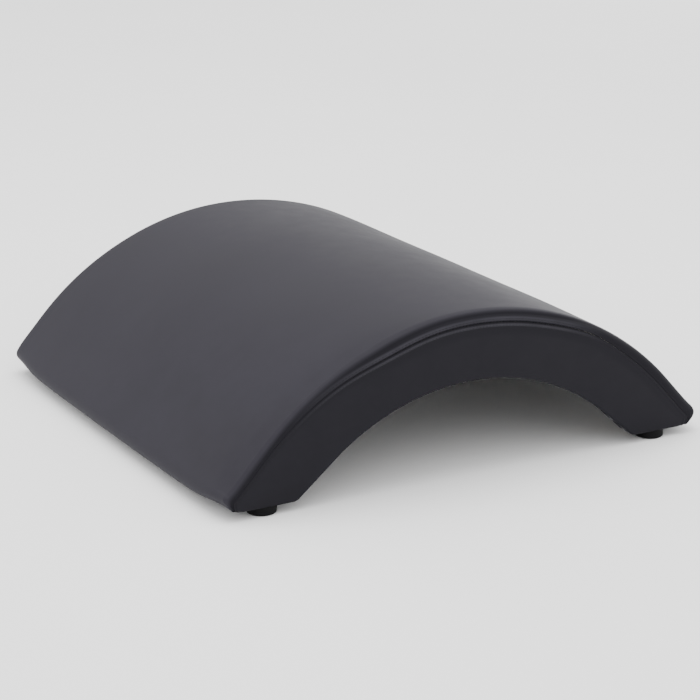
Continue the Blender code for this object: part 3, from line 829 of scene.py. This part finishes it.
foot_low, foot_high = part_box("foot_front_left")
FOOT_RADIUS = (foot_high[0] - foot_low[0]) / 2
FOOT_HEIGHT = foot_high[2]
FOOT_SOFT = 0.0026
FOOT_TOP_SOFT = 0.0004
RECESS_RADIUS = 0.0068
RECESS_DEPTH = 0.0050
RECESS_SOFT = 0.0005
BORE_RADIUS = 0.0024
FOOT_SIDES = 64
FOOT_SOFT_STEPS = 7
FOOT_TOP_STEPS = 2
FOOT_CREASE = radians(35)
LEVEL = 0.99
RUBBER_DARK = (0.0030, 0.0030, 0.0034)
RUBBER_WORN = (0.0058, 0.0057, 0.0064)
MOULDED_HEIGHT = 0.00012
FINE_HEIGHT = 0.00005


def midmost(middle):
    """Whether a face lies on the foot's own axis."""
    return hypot(middle.x, middle.y) < GAP


bpy.ops.object.select_all(action="DESELECT")
bpy.ops.mesh.primitive_cylinder_add(vertices=FOOT_SIDES, radius=FOOT_RADIUS, depth=FOOT_HEIGHT,
                                    location=(0.0, 0.0, FOOT_HEIGHT / 2))
first_foot = bpy.context.object
bpy.ops.object.transform_apply(location=True, rotation=False, scale=False)
bpy.ops.object.mode_set(mode="EDIT")
pick(first_foot, "EDGE", lambda middle, run: middle.z < GAP)
bpy.ops.mesh.bevel(offset=FOOT_SOFT, segments=FOOT_SOFT_STEPS, affect="EDGES")
pick(first_foot, "EDGE", lambda middle, run: middle.z > FOOT_HEIGHT - GAP)
bpy.ops.mesh.bevel(offset=FOOT_TOP_SOFT, segments=FOOT_TOP_STEPS, affect="EDGES")
pick(first_foot, "FACE", lambda middle, normal: normal.z < -LEVEL and midmost(middle))
bpy.ops.mesh.inset(thickness=FOOT_RADIUS - FOOT_SOFT - RECESS_RADIUS - RECESS_SOFT)
bpy.ops.mesh.inset(thickness=RECESS_SOFT, depth=-RECESS_SOFT)
bpy.ops.mesh.extrude_region_move(
    TRANSFORM_OT_translate={"value": (0.0, 0.0, RECESS_DEPTH - RECESS_SOFT)})
bpy.ops.mesh.inset(thickness=RECESS_RADIUS - BORE_RADIUS)
pick(first_foot, "FACE", lambda middle, normal: normal.z > LEVEL and midmost(middle))
bpy.ops.mesh.inset(thickness=FOOT_RADIUS - FOOT_TOP_SOFT - BORE_RADIUS)
pick(first_foot, "FACE", lambda middle, normal: abs(normal.z) > LEVEL and midmost(middle))
bpy.ops.mesh.bridge_edge_loops()
bpy.ops.mesh.select_all(action="SELECT")
bpy.ops.mesh.normals_make_consistent(inside=False)
bpy.ops.object.mode_set(mode="OBJECT")
bpy.ops.object.shade_smooth_by_angle(angle=FOOT_CREASE)

rubber = Finish("rubber", Specular_IOR_Level=0.08)
dust = rubber.noise(scale=220.0, detail=4.0, roughness=0.6)
worn = rubber.spread(dust, 0.35, 0.75)
rubber.feed(Base_Color=rubber.mix(worn, RUBBER_DARK, RUBBER_WORN),
            Roughness=rubber.spread(dust, 0.3, 0.7, 0.50, 0.70))
rubber.relief(dust * MOULDED_HEIGHT + rubber.noise(scale=1800.0) * FINE_HEIGHT)

for side in ("front", "back"):
    for end in ("left", "right"):
        node = f"foot_{side}_{end}"
        low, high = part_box(node)
        foot = bpy.data.objects.new(f"rubber_{node}", first_foot.data.copy())
        bpy.context.collection.objects.link(foot)
        foot_place = ((low[0] + high[0]) / 2, (low[1] + high[1]) / 2, 0.0)
        foot.data.transform(Matrix.Translation(foot_place))
        rubber.dress(foot)
        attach(foot, "root")
        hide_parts(node)
bpy.data.objects.remove(first_foot, do_unlink=True)


# Dust cloth: black non-woven cloth under the bent sheet, between the cover's tails, stapled
# along its two sides. Between them it bridges the hollow of the arch, so it hangs a little.

CLOTH = 0.0008
CLOTH_BILLOW = 0.0035
BILLOW_FADE_POWER = 4
CLOTH_STEPS = 48
CLOTH_LEG_STEPS = 8
CLOTH_COLUMNS = 33
CLOTH_PULL = 0.0010
CLOTH_STAPLE_PITCH = 0.042
CLOTH_DARK = (0.006, 0.006, 0.0066)
CLOTH_PALE = (0.014, 0.014, 0.0150)
WEAVE_HEIGHT = 0.0002
FIBRE_HEIGHT = 0.00035

lining_low, lining_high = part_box("underside_lining")
cloth_radius = CROWN_RADIUS - UNDER_INSET - GAP
cloth_knee = on_arc(cloth_radius, crown_centre, crown_lean)
cloth_end = leg_foot(cloth_radius, lining_low[2] + CLOTH * cos(crown_lean))
cloth_line = [on_arc(cloth_radius, crown_centre, crown_lean * step / CLOTH_STEPS)
              for step in range(CLOTH_STEPS + 1)]
cloth_line += [cloth_knee + (cloth_end - cloth_knee) * step / CLOTH_LEG_STEPS
               for step in range(1, CLOTH_LEG_STEPS + 1)]
cloth_outs = [way(min(1.0, step / CLOTH_STEPS) * crown_lean) for step in range(len(cloth_line))]
cloth_reach = reached(cloth_line)


def cloth_rows():
    """Rows across the cloth, drawn in a little between its side staples and hanging in the middle."""
    rows = []
    for spot, out, reach in zip(cloth_line, cloth_outs, cloth_reach):
        half = lining_high[1] - CLOTH_PULL * sin(pi * reach / CLOTH_STAPLE_PITCH) ** 2
        row = []
        for share in np.linspace(-1.0, 1.0, CLOTH_COLUMNS):
            hang = CLOTH_BILLOW * (1 - share ** 2)
            hang *= 1 - (reach / cloth_reach[-1]) ** BILLOW_FADE_POWER
            low = spot - out * hang
            row.append((low[0], half * share, low[1]))
        rows.append(row)
    return both_halves(np.array(rows))


dust_cloth = skinned("dust_cloth", [plain(cloth_rows())], CLOTH)[0]
cloth = Finish("dust_cloth")
weave = cloth.cells(scale=900.0)
fibres = cloth.noise(scale=400.0, detail=4.0, roughness=0.7)
cloth.feed(Base_Color=cloth.mix(cloth.spread(fibres, 0.3, 0.7), CLOTH_DARK, CLOTH_PALE),
           Roughness=cloth.spread(fibres, 0.3, 0.7, 0.82, 0.95))
cloth.relief(weave * WEAVE_HEIGHT + fibres * FIBRE_HEIGHT)
cloth.dress(dust_cloth)
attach(dust_cloth, "root")
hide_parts("underside_lining")


# Frame woods and fixings: birch plywood, pine and beech, which show only where the underside
# is open, and zinc-plated screws and washers up inside the feet.

WOOD_HEIGHT = 0.0001
ZINC_DARK = (0.42, 0.43, 0.45)
ZINC_PALE = (0.62, 0.63, 0.65)


def wood(name, pale, dark, scales):
    """Sawn wood, whose grain runs along the axis with the smallest of the three scales."""
    made = Finish(name)
    grain_place = made.node("ShaderNodeMapping", {}, {"Vector": made.place(), "Scale": scales})
    rings = made.node("ShaderNodeTexNoise", {}, {
        "Vector": grain_place, "Scale": 14.0, "Detail": 5.0, "Distortion": 0.6})
    vessels = made.noise(scale=700.0)
    share = made.spread(rings * 0.8 + vessels * 0.2, 0.3, 0.7)
    made.feed(Base_Color=made.mix(share, dark, pale),
              Roughness=made.spread(rings, 0.3, 0.7, 0.5, 0.68))
    made.relief(rings * WOOD_HEIGHT + vessels * WOOD_HEIGHT)
    return made


plywood = wood("birch_plywood", pale=(0.60, 0.43, 0.26), dark=(0.42, 0.28, 0.15),
               scales=(1.0, 6.0, 10.0))
pine = wood("pine", pale=(0.66, 0.48, 0.28), dark=(0.50, 0.31, 0.15), scales=(8.0, 0.6, 8.0))
beech = wood("beech", pale=(0.60, 0.40, 0.24), dark=(0.46, 0.28, 0.15), scales=(9.0, 9.0, 1.0))
zinc = Finish("zinc_plate", Metallic=1.0)
brushed = zinc.noise(scale=900.0, detail=3.0)
zinc.feed(Base_Color=zinc.mix(brushed, ZINC_DARK, ZINC_PALE),
          Roughness=zinc.spread(brushed, 0.3, 0.7, 0.25, 0.42))

for node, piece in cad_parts.items():
    if node.startswith("batten") or node.endswith("rail"):
        pine.dress(piece)
    elif node.startswith("dowel"):
        beech.dress(piece)
    elif node.startswith(("rib", "top_deck", "under_sheet")):
        plywood.dress(piece)
    elif node.startswith(("washer", "screw")):
        zinc.dress(piece)


# Staples: zinc-plated upholstery staples, driven up through the hems into the deep side ribs,
# through the cover's tails into the end rails, and through the dust cloth's sides into the
# bent sheet.

STAPLE_LENGTH = 0.0100
STAPLE_WIRE = 0.00045
STAPLE_DIVE = 0.0007
HEM_STAPLE_PITCH = 0.024
TAIL_STAPLE_PITCH = 0.030
TAIL_STAPLE_SHARE = 0.6
HEM_STAPLE_COLUMN = FOLD_STEPS + 2
CLOTH_STAPLE_INSET = 0.006

cloth_face = [spot - out * CLOTH for spot, out in zip(cloth_line, cloth_outs)]
cloth_edge = lining_high[1] - CLOTH_STAPLE_INSET
downs = both_halves(np.array([(-out[0], 0.0, -out[1]) for out in cloth_outs]))
places = []
for side, sign in (("front", -1), ("back", 1)):
    line = hems[side][:, HEM_STAPLE_COLUMN]
    inner = hems[side][:, HEM_STAPLE_COLUMN + 1]
    ahead = np.gradient(line, axis=0)
    outs = np.cross(ahead, inner - line) * sign
    places += along_line(line, outs / np.linalg.norm(outs, axis=1)[:, None], HEM_STAPLE_PITCH)
    edge = both_halves(np.array([(spot[0], sign * cloth_edge, spot[1]) for spot in cloth_face]))
    places += along_line(edge, downs, CLOTH_STAPLE_PITCH)
for end in (-1.0, 1.0):
    out = np.array([-end * sin(crown_lean), 0.0, -cos(crown_lean)])
    tail = tuck[-2] + (tuck[-1] - tuck[-2]) * TAIL_STAPLE_SHARE
    tail = tail * np.array([end, 1.0, 1.0])
    places += along_line(tail, np.tile(out, (len(tail), 1)), TAIL_STAPLE_PITCH)

staples = repeated("staples", bent_bar(STAPLE_LENGTH, STAPLE_WIRE, STAPLE_DIVE), places)
zinc.dress(staples)
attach(staples, "root")


# Studio: a pale floor in an even pale surround, which gives most of the light, with a weak soft
# lamp overhead and a small low one behind on the right. The camera stands at the photograph's angle.

FLOOR_SIZE = 16.0
FLOOR_DARK = (0.90, 0.90, 0.90)
FLOOR_PALE = (0.94, 0.94, 0.94)
SURROUND = 2.00
LIT_POINT = (0.0, 0.0, 0.1)

bpy.ops.object.select_all(action="DESELECT")
bpy.ops.mesh.primitive_plane_add(size=FLOOR_SIZE, location=(0.0, 0.0, 0.0))
floor = bpy.context.object
floor.name = "floor"
paper = Finish("floor_paper", Specular_IOR_Level=0.1)
tone = paper.noise(scale=2.0)
paper.feed(Base_Color=paper.mix(tone, FLOOR_DARK, FLOOR_PALE),
           Roughness=paper.spread(tone, 0.0, 1.0, 0.85, 0.95))
paper.dress(floor)

world = bpy.data.worlds.new("studio")
bpy.context.scene.world = world
world.use_nodes = True
background = world.node_tree.nodes["Background"]
background.inputs["Color"].default_value = (1.0, 1.0, 1.0, 1.0)
background.inputs["Strength"].default_value = SURROUND


def softbox(name, place, size, power):
    """A soft rectangular lamp that faces the arc."""
    data = bpy.data.lights.new(name, "AREA")
    data.shape = "RECTANGLE"
    data.size, data.size_y = size
    data.energy = power
    made = bpy.data.objects.new(name, data)
    bpy.context.collection.objects.link(made)
    made.location = place
    made.rotation_euler = (Vector(LIT_POINT) - Vector(place)).to_track_quat("-Z", "Y").to_euler()


softbox("overhead", place=(-0.3, 0.1, 2.6), size=(2.2, 2.2), power=46.0)
softbox("behind_right", place=(3.2, 2.3, 0.55), size=(2.0, 0.8), power=9.0)

CAMERA_TURN = radians(29.0806)
CAMERA_DROP = radians(17.2229)
CAMERA_PLACE = (-1.2462, -2.2641, 0.8639)
FOCAL_PIXELS = 2290.44
FRAME_PIXELS = 700.0
SENSOR = 36.0
camera_data = bpy.data.cameras.new("photo_camera")
camera_data.sensor_width = SENSOR
camera_data.lens = SENSOR * FOCAL_PIXELS / FRAME_PIXELS
camera = bpy.data.objects.new("photo_camera", camera_data)
bpy.context.collection.objects.link(camera)
camera.location = CAMERA_PLACE
ahead = Vector((sin(CAMERA_TURN) * cos(CAMERA_DROP), cos(CAMERA_TURN) * cos(CAMERA_DROP),
                -sin(CAMERA_DROP)))
camera.rotation_euler = ahead.to_track_quat("-Z", "Y").to_euler()
bpy.context.scene.camera = camera
